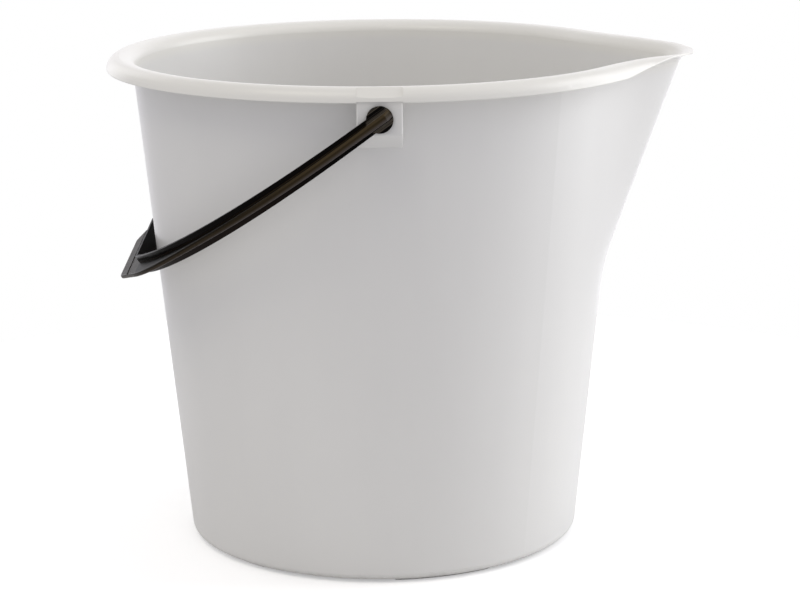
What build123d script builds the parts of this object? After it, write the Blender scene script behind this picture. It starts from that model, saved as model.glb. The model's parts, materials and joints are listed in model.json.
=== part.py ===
from build123d import *
import os
from math import asin, atan2, cos, degrees, radians, sin, sqrt, tan

# A ten litre plastic bucket with a pouring spout and a snap-in bail handle.
# Millimetres, +Z up, origin at the centre of the base on the floor.
# The spout points to +X and the handle's pivots are at +Y and -Y.

# Body
rim_height = 259.4
base_radius = 104.5
base_height = 5.2
mouth_radius = 129.84
wall = 1.8

# Floor, standing ring and feet
floor_underside = 4.5
floor_thickness = 2.4
floor_rise = 6.0
ring_width = 9.5
ring_bottom = 1.4
ring_edge_radius = 4.0
foot_count = 5
foot_span = 30.0
foot_inset = 0.6
foot_width = 3.9
foot_chamfer = 0.6

# Rolled rim: the wall curves out to a crown and rolls on down to the lip
rim_crown_offset = 7.0
rim_inner_rise = 5.5
rim_outer_width = 6.7
rim_rise = 7.1
lip_edge_radius = 0.5

# Spout: plan outline at rim level, and how the rim changes from the body to the nose
spout_depth = 114.4
spout_start_blend = 12.0
spout_overhang = 28.3
spout_nose_radius = 33.0
spout_flank_radius = 260.0
spout_sector = 46.0
spout_stations = (0, 3, 6, 10, 14, 19, 24, 29, 34, 40, 44, 45.5, spout_sector)
lip_taper_start = 11.5
lip_taper_end = 29.5
nose_blend_angle = 20.0
nose_drop = 1.5
nose_rise = 3.4
nose_inner_rise = 5.0
nose_turn = 84.0
nose_edge = 1.0

# Ears, set back a little under the lip
pivot_drop = 14.85
ear_width = 22.0
ear_setback = 1.28
ear_below_pivot = 7.75
ear_ramp_drop = 7.4
ear_into_rim = 2.6
ear_plate = 3.0
ear_cheek = 2.0
ear_edge_radius = 0.9
ear_bottom_radius = 1.3
lip_trim_least = 0.8
hub_lip_gap = 0.3
lip_facet_depth = 0.75
lip_facet_slope = 50.0

# Handle, in its own plane: straight arms, a half round bail and a flat chord for the grip.
# A flat flange runs all round, with a rib along its middle that grows into the grip plate.
rest_angle = 35.6
arm_clearance = 0.32
arm_width_at_pivot = 7.8
arm_width_at_grip = 10.8
flange_thickness = 1.7
flange_edge_radius = 0.5
grip_clearance = 0.22
grip_half_length = 49.81
grip_corner_radius = 5.0
rib_reach = 5.6
rib_half_at_pivot = 2.0
rib_flare_start = 55.0
plate_width = 15.3
plate_half = 1.15
plate_half_length = 44.5
plate_end_offset = 4.3
plate_end_half_length = 69.2
plate_corner_radius = 12.0
plate_border = 6.0
plate_end_border = 9.0
plate_recess = 0.4
rib_edge_radius = 0.9

# Hub disc and snap stud
hub_radius = 6.5
hub_gap = 0.3
hub_thickness = 2.0
hub_edge = 0.4
rib_end_slope = 2.6
stud_radius = 3.5
stud_clearance = 0.06
head_radius = 4.5
head_length = 2.4
head_gap = 0.3
head_chamfer = 1.0

# Heights and radii that follow from the sizes above
taper = (mouth_radius - base_radius) / (rim_height - base_height)
rim_base = rim_height - rim_rise
lip_radius = base_radius + taper * (rim_base - base_height) + rim_crown_offset + rim_outer_width
ring_inner_radius = base_radius - ring_width
foot_inner_radius = ring_inner_radius + foot_inset
spout_start_height = rim_height - spout_depth
spout_reach = mouth_radius + spout_overhang
pivot_height = rim_height - pivot_drop
ear_face = lip_radius - ear_setback
ear_bottom_height = pivot_height - ear_below_pivot
ear_ramp_height = ear_bottom_height - ear_ramp_drop
ear_top_height = rim_base + ear_into_rim
lip_trim = max(lip_trim_least, pivot_height + hub_radius + hub_lip_gap - rim_base)
arm_inner = lip_radius + arm_clearance

# The lower inner corner of the grip stops just short of the tapered wall at the rest angle
rest_turn = radians(rest_angle)
corner_drop = arm_width_at_grip / 2
corner_height = pivot_height - corner_drop * cos(rest_turn)
corner_radius = base_radius + taper * (corner_height - base_height) + grip_clearance
grip_inner = (corner_radius + corner_drop * sin(rest_turn)) / (cos(rest_turn) + taper * sin(rest_turn))
arm_straight = grip_inner - sqrt(arm_inner**2 - grip_half_length**2)
plate_edge = grip_inner + plate_width
plate_end_reach = grip_inner + plate_end_offset


def mix(first, second, share):
    return first + (second - first) * share


def smooth(value, end):
    share = min(1.0, value / end)
    return share * share * (3 - 2 * share)


# Handle length of a Bezier curve for an arc of unit radius
def arc_handle(span):
    return 4 / 3 * tan(radians(span) / 4)


def with_mirror(shape, plane):
    return [shape, mirror(shape, plane)]


# Outer radius of the plain tapered wall
def wall_radius(height):
    return base_radius + taper * (height - base_height)


# Plan outline at rim level, moved out by an offset: body circle, hollow flanks and round nose, all tangent
def outline_radius(angle, offset):
    body = wall_radius(rim_base)
    nose_x = spout_reach - spout_nose_radius
    to_flank = body + spout_flank_radius
    nose_to_flank = spout_nose_radius + spout_flank_radius
    flank_x = (to_flank**2 - nose_to_flank**2 + nose_x**2) / (2 * nose_x)
    flank_y = sqrt(to_flank**2 - flank_x**2)
    turn = radians(abs(angle))
    if turn >= atan2(flank_y, flank_x):
        return body + offset
    share = (spout_nose_radius + offset) / nose_to_flank
    if turn > atan2(flank_y * share, mix(nose_x, flank_x, share)):
        along = flank_x * cos(turn) + flank_y * sin(turn)
        return along - sqrt((spout_flank_radius - offset) ** 2 - to_flank**2 + along**2)
    along = nose_x * cos(turn)
    return along + sqrt((spout_nose_radius + offset) ** 2 - nose_x**2 + along**2)


# Outer wall radius round the axis, with the spout swelling out steadily from its start height
def spouted_radius(angle, height):
    swell = outline_radius(angle, 0) - wall_radius(rim_base)
    return wall_radius(height) + swell * (height - spout_start_height) / (rim_base - spout_start_height)


# Whole wall cut by a plane through the axis, from the standing ring to the rim.
# Towards the nose the lip's edge climbs until the roll is a thin pouring edge.
def wall_section(angle):
    at_nose = 1 - smooth(abs(angle), nose_blend_angle)
    rolled = (abs(angle) - lip_taper_start) / (lip_taper_end - lip_taper_start)
    rolled = min(1.0, max(0.0, rolled))
    end_turn = min(nose_turn, degrees(asin(1 - rolled)))
    rise = mix(rim_rise, nose_rise, at_nose)
    crown = rim_height - nose_drop * at_nose
    inner_rise = mix(rim_inner_rise, nose_inner_rise, at_nose)
    flare = crown - inner_rise
    edge = mix(nose_edge, wall, rolled)
    crown_radius = outline_radius(angle, rim_crown_offset)
    inward = crown_radius - spouted_radius(angle, flare) + wall
    outward = outline_radius(angle, rim_crown_offset + rim_outer_width) - crown_radius

    # Point of the rim outside the crown, at a turn up from the lip's end, some depth under the top skin
    def rim_point(turn, depth):
        height = crown - rise + (rise - depth) * sin(radians(turn))
        return Vector(crown_radius + (outward - depth) * cos(radians(turn)), height)

    # Skin of the rim at a depth under its top, from the wall over the crown and down to a last turn
    def rim_skin(start, start_depth, depth, last_turn):
        top = Vector(crown_radius, crown - depth)
        leave = (start % 1) * (inner_rise - start_depth) * arc_handle(90)
        arrive = Vector(inward - depth, 0) * arc_handle(90)
        inner_bend = Bezier(start @ 1, start @ 1 + leave, top - arrive, top)
        span = 90 - last_turn
        leave = Vector(outward - depth, 0) * arc_handle(span)
        end_way = Vector((outward - depth) * cos(radians(span)), (depth - rise) * sin(radians(span)))
        end = rim_point(last_turn, depth)
        return [inner_bend, Bezier(top, top + leave, end - end_way * arc_handle(span), end)]

    # Outer or inner line of the wall, with the start of the spout eased in
    def wall_line(inset, foot_height):
        low = spout_start_height - spout_start_blend
        high = spout_start_height + spout_start_blend
        foot = (wall_radius(foot_height) - inset, foot_height)
        below = (wall_radius(low) - inset, low)
        bend = (wall_radius(spout_start_height) - inset, spout_start_height)
        above = (spouted_radius(angle, high) - inset, high)
        top = (spouted_radius(angle, flare) - inset, flare)
        return [Line(foot, below), Bezier(below, bend, above), Line(above, top)]

    seat = floor_underside + floor_thickness / 2
    outer = wall_line(0, ring_bottom)
    inner = wall_line(wall, seat)
    under = rim_skin(outer[2], wall, edge, end_turn)
    upper = rim_skin(inner[2], 0, 0, end_turn + degrees(lip_edge_radius / rim_outer_width))
    lip_end = Line(under[1] @ 1, rim_point(end_turn, lip_edge_radius))
    lip_edge = Bezier(lip_end @ 1, rim_point(end_turn, 0), upper[1] @ 1)
    ring_corner = (wall_radius(ring_bottom), ring_bottom)
    ring_points = [(ring_inner_radius, seat), (ring_inner_radius, ring_bottom), ring_corner]
    ring = Polyline(inner[0] @ 0, *ring_points)
    face = make_face([*outer, *under, lip_end, lip_edge, *upper, *inner, *ring.edges()])
    face = fillet(face.vertices().sort_by_distance(ring_corner)[0], ring_edge_radius)
    turn = radians(angle)
    return Plane((0, 0, 0), x_dir=(cos(turn), sin(turn), 0), z_dir=(sin(turn), -cos(turn), 0)) * face


# Floor disc with a sloping edge, let into the wall all round
def floor_disc():
    top = floor_underside + floor_thickness
    edge_height = top + floor_rise
    points = [
        (0, floor_underside),
        (wall_radius(floor_underside) - wall / 2, floor_underside),
        (wall_radius(edge_height) - wall / 2, edge_height),
        (wall_radius(top) - wall - floor_rise, top),
        (0, top),
    ]
    return revolve(Plane.XZ * make_face(Polyline(*points, close=True)), Axis.Z)


def foot(angle):
    section = Rectangle(foot_width, 2 * ring_bottom, align=(Align.MIN, Align.MIN))
    solid = revolve(Plane.XZ * Pos(foot_inner_radius, 0) * section, Axis.Z, foot_span)
    solid = chamfer(solid.faces().sort_by(Axis.Z)[0].edges(), foot_chamfer)
    return Rot(0, 0, angle - foot_span / 2) * solid


# Ear block on the -Y side seen along X: flat face, sloping underside, back edge inside the wall
def ear_block(inset, lift, width):
    back = wall_radius(ear_ramp_height) - wall
    front = ear_face - inset
    bottom = (-front, ear_bottom_height + lift)
    points = [(-back, ear_ramp_height - wall + lift), bottom]
    points += [(-front, ear_top_height), (-back, ear_top_height)]
    side = make_face(Polyline(*points, close=True))
    side = fillet(side.vertices().sort_by_distance(bottom)[0], ear_bottom_radius)
    return extrude(Plane.YZ * side, width / 2, both=True)


# Box-shaped ear round a pocket that opens into the rim's hollow, with the hole for the stud
def ear():
    shell = ear_block(0, 0, ear_width)
    # Both side outlines, without the top and back edges, which are inside the rim and the wall
    sides = shell.edges().filter_by(Axis.X, reverse=True).sort_by(Axis.Z)[:-2].sort_by(Axis.Y)[:-2]
    shell = fillet(sides, ear_edge_radius)
    shell -= ear_block(ear_plate, ear_cheek, ear_width - 2 * ear_cheek)
    middle = [(wall_radius(height) - wall / 2, height) for height in (0, rim_height)]
    core = make_face(Polyline((0, 0), *middle, (0, rim_height), close=True))
    shell -= revolve(Plane.XZ * core, Axis.Z)
    hole = Plane((0, -ear_face, pivot_height), z_dir=(0, 1, 0)) * Circle(stud_radius + stud_clearance)
    return shell - extrude(hole, ear_plate)


# What is cut from the rim over the -Y ear: the lip's lower edge and a slight flat on its shoulder
def ear_cuts():
    lip = Rectangle(ear_width, 2 * lip_trim)
    outward = Plane((0, -ear_face, rim_base), x_dir=(1, 0, 0), z_dir=(0, -1, 0))
    trim = extrude(outward * lip, rim_outer_width)
    slope = radians(lip_facet_slope)
    crown_radius = wall_radius(rim_base) + rim_crown_offset
    shoulder = Plane((0, -crown_radius, rim_base), x_dir=(1, 0, 0), z_dir=(0, -cos(slope), sin(slope)))
    shoulder = shoulder.offset(rim_outer_width - lip_facet_depth)
    return trim + extrude(shoulder * Rectangle(ear_width, 2 * rim_rise), rim_rise)


def bucket_body():
    around = [-angle for angle in reversed(spout_stations[1:])] + list(spout_stations)
    body = revolve(wall_section(spout_sector), Axis.Z, 360 - 2 * spout_sector)
    body += loft([wall_section(angle) for angle in around])
    body += floor_disc()
    body += [foot(360 / foot_count * index) for index in range(foot_count)]
    body -= with_mirror(ear_cuts(), Plane.XZ)
    return body + with_mirror(ear(), Plane.XZ)


# Area inside the bail, moved out by an outset and cut off straight at the grip
def bail_area(outset, grip, start):
    radius = arm_inner + outset
    area = Pos(arm_straight, 0) * Circle(radius)
    area += Pos(start, 0) * Rectangle(arm_straight - start, 2 * radius, align=(Align.MIN, Align.CENTER))
    area &= Pos(start, 0) * Rectangle(grip - start, 2 * radius, align=(Align.MIN, Align.CENTER))
    return fillet(area.vertices().group_by(Axis.X)[-1], grip_corner_radius + outset)


# Slab across the whole bail that widens evenly from the pivot to the outer edge of the grip plate
def side_slab(half_at_pivot, half_at_edge):
    back = -2 * hub_radius
    half_at_back = mix(half_at_pivot, half_at_edge, back / plate_edge)
    corners = [(back, -half_at_back), (plate_edge, -half_at_edge)]
    corners += [(plate_edge, half_at_edge), (back, half_at_back)]
    return extrude(Plane.XZ * make_face(Polyline(*corners, close=True)), 2 * arm_inner, both=True)


# Plate of a given outline and thickness, its outer edges rounded, with the inside of the bail taken out
def bail_ring(area, half_at_pivot, half_at_edge, edge_radius):
    ring = extrude(area, arm_width_at_grip, both=True) & side_slab(half_at_pivot, half_at_edge)
    outside = ring.edges().filter_by(Axis.Z, reverse=True).filter_by_position(Axis.X, 0, plate_edge)
    ring = fillet(outside, edge_radius)
    return ring - extrude(bail_area(0, grip_inner, -2 * hub_radius), arm_width_at_grip, both=True)


def bail_flange():
    area = bail_area(flange_thickness, grip_inner + flange_thickness, -hub_radius)
    return bail_ring(area, arm_width_at_pivot / 2, arm_width_at_grip / 2, flange_edge_radius)


# Rib round the outside of the bail with its slanted run into the grip plate, sunk a little on both faces
def rib_and_plate():
    radius = arm_inner + rib_reach
    corner = (plate_edge, plate_half_length)
    plate_end = (plate_end_reach, plate_end_half_length)
    arm = Line((-hub_radius, radius), (arm_straight, radius))
    bend = CenterArc((arm_straight, 0), radius, 90, rib_flare_start - 90)
    end_way = (corner[0] - plate_end[0], corner[1] - plate_end[1])
    flare = Spline([bend @ 1, plate_end], tangents=[bend % 1, end_way])
    half = [arm, bend, flare, Line(plate_end, corner), Line(corner, (plate_edge, 0))]
    half += [Line((plate_edge, 0), (-hub_radius, 0)), Line((-hub_radius, 0), (-hub_radius, radius))]
    area = make_face(half)
    area = fillet(area.vertices().sort_by_distance(corner)[0], plate_corner_radius)
    area += mirror(area, Plane.XZ)
    rib = bail_ring(area, rib_half_at_pivot, plate_half, rib_edge_radius)
    inner_edge = grip_inner + flange_thickness
    width = plate_edge - plate_border - inner_edge
    length = 2 * (plate_end_half_length - plate_end_border)
    sunk = Pos(inner_edge, 0) * Rectangle(width, length, align=(Align.MIN, Align.CENTER))
    floor = Pos(0, 0, plate_half - plate_recess)
    return rib - with_mirror(floor * extrude(sunk, arm_width_at_grip), Plane.XY)


# Round piece on the pivot axis between two distances from the bucket's middle plane
def pivot_disc(radius, near, far):
    return extrude(Plane((0, near, 0), z_dir=(0, 1, 0)) * Circle(radius), far - near)


# Hub disc, and the stud that snaps through the ear
def hub():
    back = ear_face + hub_gap
    head_start = ear_face - ear_plate - head_gap
    disc = pivot_disc(hub_radius, back, back + hub_thickness)
    disc = fillet(disc.edges().sort_by(Axis.Y)[-1], hub_edge)
    disc += pivot_disc(stud_radius, head_start, back)
    head = pivot_disc(head_radius, head_start - head_length, head_start)
    return disc + chamfer(head.edges().sort_by(Axis.Y)[0], head_chamfer)


# Room for the ends of the arms over a hub, narrowing outwards so that the ribs slope down to the disc
def arm_end():
    step = arm_inner + flange_thickness
    top = arm_inner + rib_reach
    inside = hub_radius - hub_edge
    points = [(0, 0), (inside, 0), (inside, step), (inside - rib_end_slope, top), (0, top)]
    return revolve(make_face(Polyline(*points, close=True)), Axis.Y)


def bail_handle():
    bars = bail_flange() + rib_and_plate()
    room = 2 * plate_edge
    beyond = Box(room, room, room, align=(Align.MAX, Align.CENTER, Align.CENTER))
    bars -= beyond - with_mirror(arm_end(), Plane.XZ)
    handle = bars + with_mirror(hub(), Plane.XZ)
    along = (-cos(rest_turn), 0, -sin(rest_turn))
    across = (-sin(rest_turn), 0, cos(rest_turn))
    return Plane((0, 0, pivot_height), x_dir=along, z_dir=across) * handle


os.makedirs("parts", exist_ok=True)
for name, shape in (("bucket_body", bucket_body()), ("bail_handle", bail_handle())):
    print(name, round(shape.volume), shape.is_valid, len(shape.solids()), shape.bounding_box())
    export_step(shape, f"parts/{name}.step")
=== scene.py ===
import json
import math
import bpy
from mathutils import Matrix, Vector

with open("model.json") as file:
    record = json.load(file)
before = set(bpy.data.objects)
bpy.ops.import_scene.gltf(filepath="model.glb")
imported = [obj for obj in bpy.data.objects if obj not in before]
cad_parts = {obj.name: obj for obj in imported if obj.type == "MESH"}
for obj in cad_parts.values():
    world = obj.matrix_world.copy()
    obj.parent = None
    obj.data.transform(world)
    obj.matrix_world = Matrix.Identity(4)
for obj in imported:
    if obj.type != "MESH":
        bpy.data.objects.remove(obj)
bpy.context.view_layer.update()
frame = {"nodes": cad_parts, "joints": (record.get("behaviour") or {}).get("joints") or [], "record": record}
print("frame loaded:", sorted(frame["nodes"]))

# middle of the line that the bail swings on, and the way from there to its grip
pivot = Vector(frame["joints"][0]["pos_m"])
gripMount = next(mount for mount in frame["record"]["mounts"] if mount["name"] == "grip")
toGrip = (Vector(gripMount["pos_m"]) - pivot).normalized()


# small helpers for the shader trees
def newMaterial(name):
    material = bpy.data.materials.new(name)
    material.use_nodes = True
    material.node_tree.nodes.clear()
    return material, material.node_tree


def addNode(tree, kind, inputs=None, **props):
    node = tree.nodes.new(kind)
    for key, value in props.items():
        setattr(node, key, value)
    for key, value in (inputs or {}).items():
        node.inputs[key].default_value = value
    return node


# links another node's output, or sets a plain number, colour or vector
def plug(tree, value, socket):
    if hasattr(value, "is_output"):
        tree.links.new(value, socket)
    else:
        socket.default_value = value


def mathNode(tree, operation, first, second=0.0, clamp=False):
    node = addNode(tree, "ShaderNodeMath", operation=operation, use_clamp=clamp)
    plug(tree, first, node.inputs[0])
    plug(tree, second, node.inputs[1])
    return node.outputs[0]


def plus(tree, first, second, clamp=False):
    return mathNode(tree, "ADD", first, second, clamp)


def times(tree, first, second, clamp=False):
    return mathNode(tree, "MULTIPLY", first, second, clamp)


def vectorNode(tree, operation, first, second=None):
    node = addNode(tree, "ShaderNodeVectorMath", operation=operation)
    plug(tree, first, node.inputs[0])
    if second is not None:
        plug(tree, second, node.inputs[1])
    return node.outputs


def splitAxes(tree, vector):
    node = addNode(tree, "ShaderNodeSeparateXYZ")
    plug(tree, vector, node.inputs[0])
    return node.outputs


def joinAxes(tree, first, second):
    node = addNode(tree, "ShaderNodeCombineXYZ")
    plug(tree, first, node.inputs[0])
    plug(tree, second, node.inputs[1])
    return node.outputs[0]


def ramp(tree, value, fromMin, fromMax, toMin=0.0, toMax=1.0):
    limits = {1: fromMin, 2: fromMax, 3: toMin, 4: toMax}  # by socket
    node = addNode(tree, "ShaderNodeMapRange", limits, interpolation_type="SMOOTHSTEP")
    plug(tree, value, node.inputs[0])
    return node.outputs[0]


def noise(tree, vector, scale, detail=2.0, roughness=0.5, stretch=None):
    if stretch:
        mapping = addNode(tree, "ShaderNodeMapping", {"Scale": stretch})
        plug(tree, vector, mapping.inputs["Vector"])
        vector = mapping.outputs["Vector"]
    node = addNode(tree, "ShaderNodeTexNoise", {"Scale": scale, "Detail": detail, "Roughness": roughness})
    plug(tree, vector, node.inputs["Vector"])
    return node.outputs["Fac"]


def mixValue(tree, factor, first, second):
    node = addNode(tree, "ShaderNodeMix")
    for slot, value in ((0, factor), (2, first), (3, second)):  # the sockets for numbers
        plug(tree, value, node.inputs[slot])
    return node.outputs[0]


def mixColor(tree, factor, first, second):
    node = addNode(tree, "ShaderNodeMix", data_type="RGBA")
    plug(tree, factor, node.inputs[0])
    for slot, value in ((6, first), (7, second)):  # the sockets for colours
        plug(tree, value if hasattr(value, "is_output") else (*value, 1.0), node.inputs[slot])
    return node.outputs[2]


def bump(tree, height, depth, strength, normal=None):
    node = addNode(tree, "ShaderNodeBump", {"Strength": strength, "Distance": depth})
    plug(tree, height, node.inputs["Height"])
    if normal:
        plug(tree, normal, node.inputs["Normal"])
    return node.outputs["Normal"]


def newPlastic(name, inputs):
    material, tree = newMaterial(name)
    shader = addNode(tree, "ShaderNodeBsdfPrincipled", inputs)
    output = addNode(tree, "ShaderNodeOutputMaterial")
    plug(tree, shader.outputs[0], output.inputs["Surface"])
    return material, tree, shader


# pale grey polypropylene of the moulded bucket, clean, a little worn at feet, rim and pivots, with a painted
# warm highlight along the rim
# a range gives where a ramp starts and ends, in metres or in levels of its noise
bodyLook = {
    "shader": {"IOR": 1.49},
    "color": (0.740, 0.734, 0.712),
    "cloudColor": (0.722, 0.716, 0.696),
    # painted highlight: the rim's paler, warmer colour
    "rimHighlightColor": (0.765, 0.754, 0.712),
    "scuffColor": (0.56, 0.545, 0.51),
    "cloud": {"scale": 7.0, "detail": 3.0},
    "cloudShare": 0.7,
    "flow": {"scale": 46.0, "stretch": (1, 1, 0.05)},
    "flowShare": 0.3,
    "tintRange": (0.35, 0.65),
    "rimRange": (0.2475, 0.2535),
    "footRange": (0.006, 0.0),
    "hubRingRange": (0.0082, 0.0066),
    "earRange": (0.138, 0.140),
    "hubRingShare": 0.4,
    "speck": {"scale": 420.0, "detail": 4.0, "roughness": 0.65},
    "speckRange": (0.40, 0.62),
    "scuffShare": 0.55,
    "roughness": 0.285,
    "hairline": {"scale": 160.0, "detail": 3.0, "roughness": 0.7, "stretch": (1, 1, 9)},
    "hairlineDull": 0.10,
    "rimGloss": 0.03,
    "scuffDull": 0.2,
    "wave": {"scale": 16.0, "detail": 1.0},
    "waveDepth": 0.0012,
    "grain": {"scale": 1900.0},
    "grainDepth": 0.00004,
    "bumpStrength": 0.2,
}


def bodyPlastic():
    look = bodyLook
    material, tree, shader = newPlastic("bodyPlastic", look["shader"])
    place = addNode(tree, "ShaderNodeTexCoord").outputs["Object"]
    axes = splitAxes(tree, place)
    height = axes["Z"]

    # slow clouding of the pigment and faint flow lines that run up the wall
    cloud = times(tree, noise(tree, place, **look["cloud"]), look["cloudShare"])
    flow = times(tree, noise(tree, place, **look["flow"]), look["flowShare"])
    tint = ramp(tree, plus(tree, cloud, flow), *look["tintRange"])
    color = mixColor(tree, tint, look["color"], look["cloudColor"])

    # the rim is painted paler and warmer as a painted highlight of the warm light from above, and is
    # polished by hands
    rim = ramp(tree, height, *look["rimRange"])
    color = mixColor(tree, rim, color, look["rimHighlightColor"])

    # scuffs on the feet, and a faint ring on each ear where the hub turns
    rise = mathNode(tree, "SUBTRACT", height, pivot.z)
    reach = vectorNode(tree, "LENGTH", joinAxes(tree, axes["X"], rise))["Value"]
    ear = ramp(tree, mathNode(tree, "ABSOLUTE", axes["Y"]), *look["earRange"])
    hubRing = times(tree, ramp(tree, reach, *look["hubRingRange"]), ear)
    hubRing = times(tree, hubRing, look["hubRingShare"])
    worn = mathNode(tree, "MAXIMUM", ramp(tree, height, *look["footRange"]), hubRing)
    speck = ramp(tree, noise(tree, place, **look["speck"]), *look["speckRange"])
    scuff = times(tree, worn, speck, clamp=True)
    color = mixColor(tree, times(tree, scuff, look["scuffShare"]), color, look["scuffColor"])
    plug(tree, color, shader.inputs["Base Color"])

    # fine hairlines break up the sheen
    hairline = noise(tree, place, **look["hairline"])
    rough = plus(tree, times(tree, hairline, look["hairlineDull"]), look["roughness"])
    rough = mathNode(tree, "SUBTRACT", rough, times(tree, rim, look["rimGloss"]))
    rough = plus(tree, rough, times(tree, scuff, look["scuffDull"]), clamp=True)
    plug(tree, rough, shader.inputs["Roughness"])

    # slight waviness of a thin wall and the fine grain of the mould
    normal = bump(tree, noise(tree, place, **look["wave"]), look["waveDepth"], look["bumpStrength"])
    grain = noise(tree, place, **look["grain"])
    normal = bump(tree, grain, look["grainDepth"], look["bumpStrength"], normal)
    plug(tree, normal, shader.inputs["Normal"])
    return material


# black handle: gloss flange and satin rib; painted reflection makes the rib brown, the grip plate paler and
# streaks the hub discs
# "across" ranges are measured square to the bail's own plane, "down" ranges from the pivot to the grip
handleLook = {
    "shader": {"IOR": 1.45, "Specular IOR Level": 0.05},
    "facingRange": (0.1, 0.5),
    "flangeColor": (0.0016, 0.0009, 0.0004),
    # painted reflection: the flange browner below the rib
    "underReflectionColor": (0.013, 0.0085, 0.0065),
    "underAcross": (-0.0019, -0.00247),
    "underDown": (0.02, 0.08),
    # painted glints streaking the hub discs
    "hubGlintColor": (0.075, 0.064, 0.050),
    "hubRange": (0.0071, 0.0061),
    "hubGlintRange": (0.50, 0.62),
    # painted reflection: the paler grip plate
    "plateReflectionColor": (0.045, 0.041, 0.037),
    "plateDown": (0.1524, 0.1534),
    # painted reflection: the rounded rib's brown sheen, plain and in warmer streaks
    "ribReflectionColor": (0.026, 0.018, 0.008),
    "ribWarmReflectionColor": (0.054, 0.0385, 0.0195),
    "ribAcross": (0.0023, 0.0019),
    # painted highlight along the rib's lower edge
    "ribEdgeHighlightColor": (0.066, 0.056, 0.050),
    "ribEdgeHighlightAcross": (0.0, -0.00133),
    # painted shade on the rib's upper side
    "ribShade": 0.8,
    "ribShadeAcross": (-0.00076, 0.00114),
    "ribShadeDown": (0.02, 0.10),
    "streak": {"scale": 900.0, "roughness": 0.6},
    "streakSquash": 0.02,
    "streakRange": (0.36, 0.64),
    "flangeRoughness": 0.15,
    "ribRoughness": 0.28,
    "edgeDull": 0.32,
    "insideDull": 0.35,
    "smudge": {"scale": 90.0, "detail": 4.0, "roughness": 0.6},
    "smudgeMiddle": 0.5,
    "smudgeSpread": 0.12,
    "sink": {"scale": 60.0, "detail": 1.0},
    "sinkDepth": 0.0003,
    "grain": {"scale": 1500.0},
    "grainDepth": 0.00002,
    "bumpStrength": 0.2,
}


def handlePlastic():
    look = handleLook
    material, tree, shader = newPlastic("handlePlastic", look["shader"])
    coords = addNode(tree, "ShaderNodeTexCoord")
    place = coords.outputs["Object"]

    # place in the bail's own plane, and how far each face looks out of the loop
    spoke = vectorNode(tree, "SUBTRACT", place, pivot)["Vector"]
    down = vectorNode(tree, "DOT_PRODUCT", spoke, toGrip)["Value"]
    across = vectorNode(tree, "DOT_PRODUCT", spoke, (toGrip.z, 0.0, -toGrip.x))["Value"]
    outward = vectorNode(tree, "NORMALIZE", spoke)["Vector"]
    facing = vectorNode(tree, "DOT_PRODUCT", outward, coords.outputs["Normal"])["Value"]
    low, high = look["facingRange"]

    # fine streaks along the rib, painted as warmer lines in its painted reflection
    lane = joinAxes(tree, across, times(tree, splitAxes(tree, place)["Y"], look["streakSquash"]))
    streak = noise(tree, lane, **look["streak"])
    warmth = ramp(tree, streak, *look["streakRange"])
    ribReflectionColor = mixColor(tree, warmth, look["ribReflectionColor"], look["ribWarmReflectionColor"])

    # a painted highlight makes its lower edge pale, and painted shade makes its upper side darker towards
    # the grip
    ribReflectionColor = mixColor(tree, ramp(tree, across, *look["ribEdgeHighlightAcross"]), ribReflectionColor, look["ribEdgeHighlightColor"])
    shade = ramp(tree, across, *look["ribShadeAcross"])
    shade = times(tree, shade, ramp(tree, down, *look["ribShadeDown"]))
    ribReflectionColor = mixColor(tree, times(tree, shade, look["ribShade"]), ribReflectionColor, look["flangeColor"])

    # painted glints streak the hub discs, and painted reflection makes the flange browner below the rib and
    # the plate paler
    reach = vectorNode(tree, "LENGTH", joinAxes(tree, across, down))["Value"]
    hubGlint = ramp(tree, streak, *look["hubGlintRange"])
    hubGlint = times(tree, hubGlint, ramp(tree, reach, *look["hubRange"]))
    flangeColor = mixColor(tree, hubGlint, look["flangeColor"], look["hubGlintColor"])
    under = times(tree, ramp(tree, down, *look["underDown"]), ramp(tree, across, *look["underAcross"]))
    flangeColor = mixColor(tree, under, flangeColor, look["underReflectionColor"])
    flangeColor = mixColor(tree, ramp(tree, down, *look["plateDown"]), flangeColor, look["plateReflectionColor"])

    # the rib stands in the middle of the outside and carries the painted reflection colour
    rib = ramp(tree, mathNode(tree, "ABSOLUTE", across), *look["ribAcross"])
    rib = times(tree, rib, ramp(tree, facing, low, high))
    plug(tree, mixColor(tree, rib, flangeColor, ribReflectionColor), shader.inputs["Base Color"])

    # gloss outside, duller on the edges and the plate, dullest inside where the hand goes
    gloss = ramp(tree, rib, 0.0, 1.0, look["flangeRoughness"], look["ribRoughness"])
    edge = ramp(tree, facing, high, low, 0.0, look["edgeDull"])
    inside = ramp(tree, facing, -low, -high, 0.0, look["insideDull"])
    smudge = mathNode(tree, "SUBTRACT", noise(tree, place, **look["smudge"]), look["smudgeMiddle"])
    rough = plus(tree, gloss, plus(tree, edge, inside))
    rough = plus(tree, rough, times(tree, smudge, look["smudgeSpread"]), clamp=True)
    plug(tree, rough, shader.inputs["Roughness"])

    # shallow sink marks and the fine grain of the mould
    normal = bump(tree, noise(tree, place, **look["sink"]), look["sinkDepth"], look["bumpStrength"])
    grain = noise(tree, place, **look["grain"])
    normal = bump(tree, grain, look["grainDepth"], look["bumpStrength"], normal)
    plug(tree, normal, shader.inputs["Normal"])
    return material


def dress(nodeName, material):
    mesh = frame["nodes"][nodeName].data
    for slot in range(len(mesh.materials)):
        mesh.materials[slot] = material


dress("bucket_body", bodyPlastic())
dress("bail_handle", handlePlastic())
print("materials set")


# white table top, seen a little brighter than it is lit, so that only the shadow shows
floorLook = {
    "radius": 0.45,
    "sides": 96,
    "center": (0.0, 0.05, 0.0),
    "color": (0.80, 0.80, 0.80, 1.0),
    "cameraGlow": 0.38,
}


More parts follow.
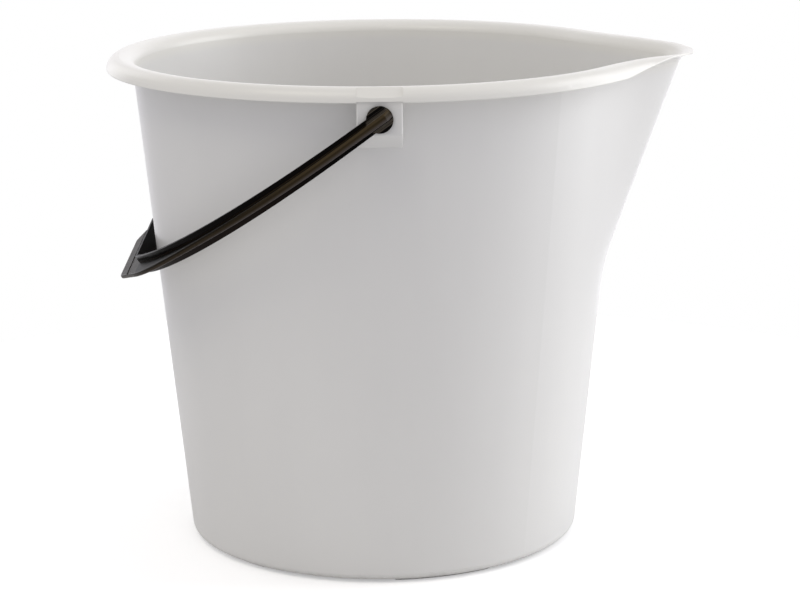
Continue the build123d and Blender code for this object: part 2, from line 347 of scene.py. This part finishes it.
def studioFloor():
    bpy.ops.object.select_all(action="DESELECT")
    bpy.ops.mesh.primitive_circle_add(
        vertices=floorLook["sides"],
        radius=floorLook["radius"],
        fill_type="NGON",
        location=floorLook["center"],
    )
    floor = bpy.context.object
    floor.name = "studioFloor"
    material, tree = newMaterial("studioFloor")
    output = addNode(tree, "ShaderNodeOutputMaterial")
    paint = addNode(tree, "ShaderNodeBsdfDiffuse", {"Color": floorLook["color"]})
    seen = addNode(tree, "ShaderNodeLightPath").outputs["Is Camera Ray"]
    glow = addNode(tree, "ShaderNodeEmission")
    plug(tree, times(tree, seen, floorLook["cameraGlow"]), glow.inputs["Strength"])
    both = addNode(tree, "ShaderNodeAddShader")
    plug(tree, paint.outputs[0], both.inputs[0])
    plug(tree, glow.outputs[0], both.inputs[1])
    plug(tree, both.outputs[0], output.inputs["Surface"])
    floor.data.materials.append(material)


studioFloor()
print("floor set")


# pale room with a brighter wall behind the object, and plain white where the camera sees it
roomLook = {
    "color": (0.96, 0.95, 1.0),
    "front": 0.65,
    "wall": 1.35,
    "wallRange": (0.80, 0.93),
    "seenColor": (1.0, 1.0, 1.0),
    "seen": 1.0,
}


def studioRoom():
    world = bpy.data.worlds.new("room")
    bpy.context.scene.world = world
    world.use_nodes = True
    tree = world.node_tree
    tree.nodes.clear()
    output = addNode(tree, "ShaderNodeOutputWorld")
    room = addNode(tree, "ShaderNodeBackground")
    path = addNode(tree, "ShaderNodeLightPath")
    direction = addNode(tree, "ShaderNodeTexCoord").outputs["Generated"]
    behind = splitAxes(tree, direction)["Y"]
    light = ramp(tree, behind, *roomLook["wallRange"], roomLook["front"], roomLook["wall"])
    seen = mathNode(tree, "MAXIMUM", path.outputs["Is Camera Ray"], path.outputs["Is Transmission Ray"])
    plug(tree, mixValue(tree, seen, light, roomLook["seen"]), room.inputs["Strength"])
    plug(tree, mixColor(tree, seen, roomLook["color"], roomLook["seenColor"]), room.inputs["Color"])
    plug(tree, room.outputs[0], output.inputs["Surface"])


# a large key box beside the spout, a weaker one behind, and a high warm one at front left
softBoxes = {
    "key": {
        "at": (1.57, 0.305, 0.66),
        "aim": (0, 0, 0.2),
        "size": (1.2, 1.7),
        "power": 20.5,
        "color": (0.98, 0.99, 1.0),
    },
    "back": {
        "at": (-1.03, 1.22, 0.66),
        "aim": (0, 0, 0.2),
        "size": (0.7, 1.3),
        "power": 3.2,
        "color": (1.0, 1.0, 1.0),
    },
    "fill": {
        "at": (-0.72, -0.80, 1.85),
        "aim": (0, 0, 0.15),
        "size": (1.2, 1.0),
        "power": 8.6,
        "color": (1.0, 0.95, 0.81),
    },
}


def softBox(name, box):
    lamp = bpy.data.lights.new(name, "AREA")
    lamp.shape = "RECTANGLE"
    lamp.size, lamp.size_y = box["size"]
    lamp.energy = box["power"]
    lamp.color = box["color"]
    lampObject = bpy.data.objects.new(name, lamp)
    bpy.context.scene.collection.objects.link(lampObject)
    lampObject.location = box["at"]
    towards = Vector(box["aim"]) - Vector(box["at"])
    lampObject.rotation_euler = towards.to_track_quat("-Z", "Y").to_euler()
    lampObject.visible_camera = False


studioRoom()
for boxName, boxLook in softBoxes.items():
    softBox(boxName, boxLook)
print("room and lamps set")


# long lens a little above the rim
cameraLook = {
    "at": (0.0, -1.2973, 0.4275),
    "pitchDown": 0.2299,
    "yaw": 0.0076,
    "roll": -0.0095,
    "lens": 111.3,
    "sensor": 36.0,
    "clip": (0.05, 50.0),
}


def studioCamera():
    cameraData = bpy.data.cameras.new("camera")
    cameraData.sensor_width = cameraLook["sensor"]
    cameraData.lens = cameraLook["lens"]
    cameraData.clip_start, cameraData.clip_end = cameraLook["clip"]
    camera = bpy.data.objects.new("camera", cameraData)
    bpy.context.scene.collection.objects.link(camera)
    turn = Matrix.Rotation(-cameraLook["yaw"], 4, "Z")
    turn = turn @ Matrix.Rotation(math.pi / 2 - cameraLook["pitchDown"], 4, "X")
    turn = turn @ Matrix.Rotation(cameraLook["roll"], 4, "Z")
    camera.matrix_world = Matrix.Translation(cameraLook["at"]) @ turn
    bpy.context.scene.camera = camera


studioCamera()
bpy.context.scene.view_settings.view_transform = "Standard"
print("camera set")
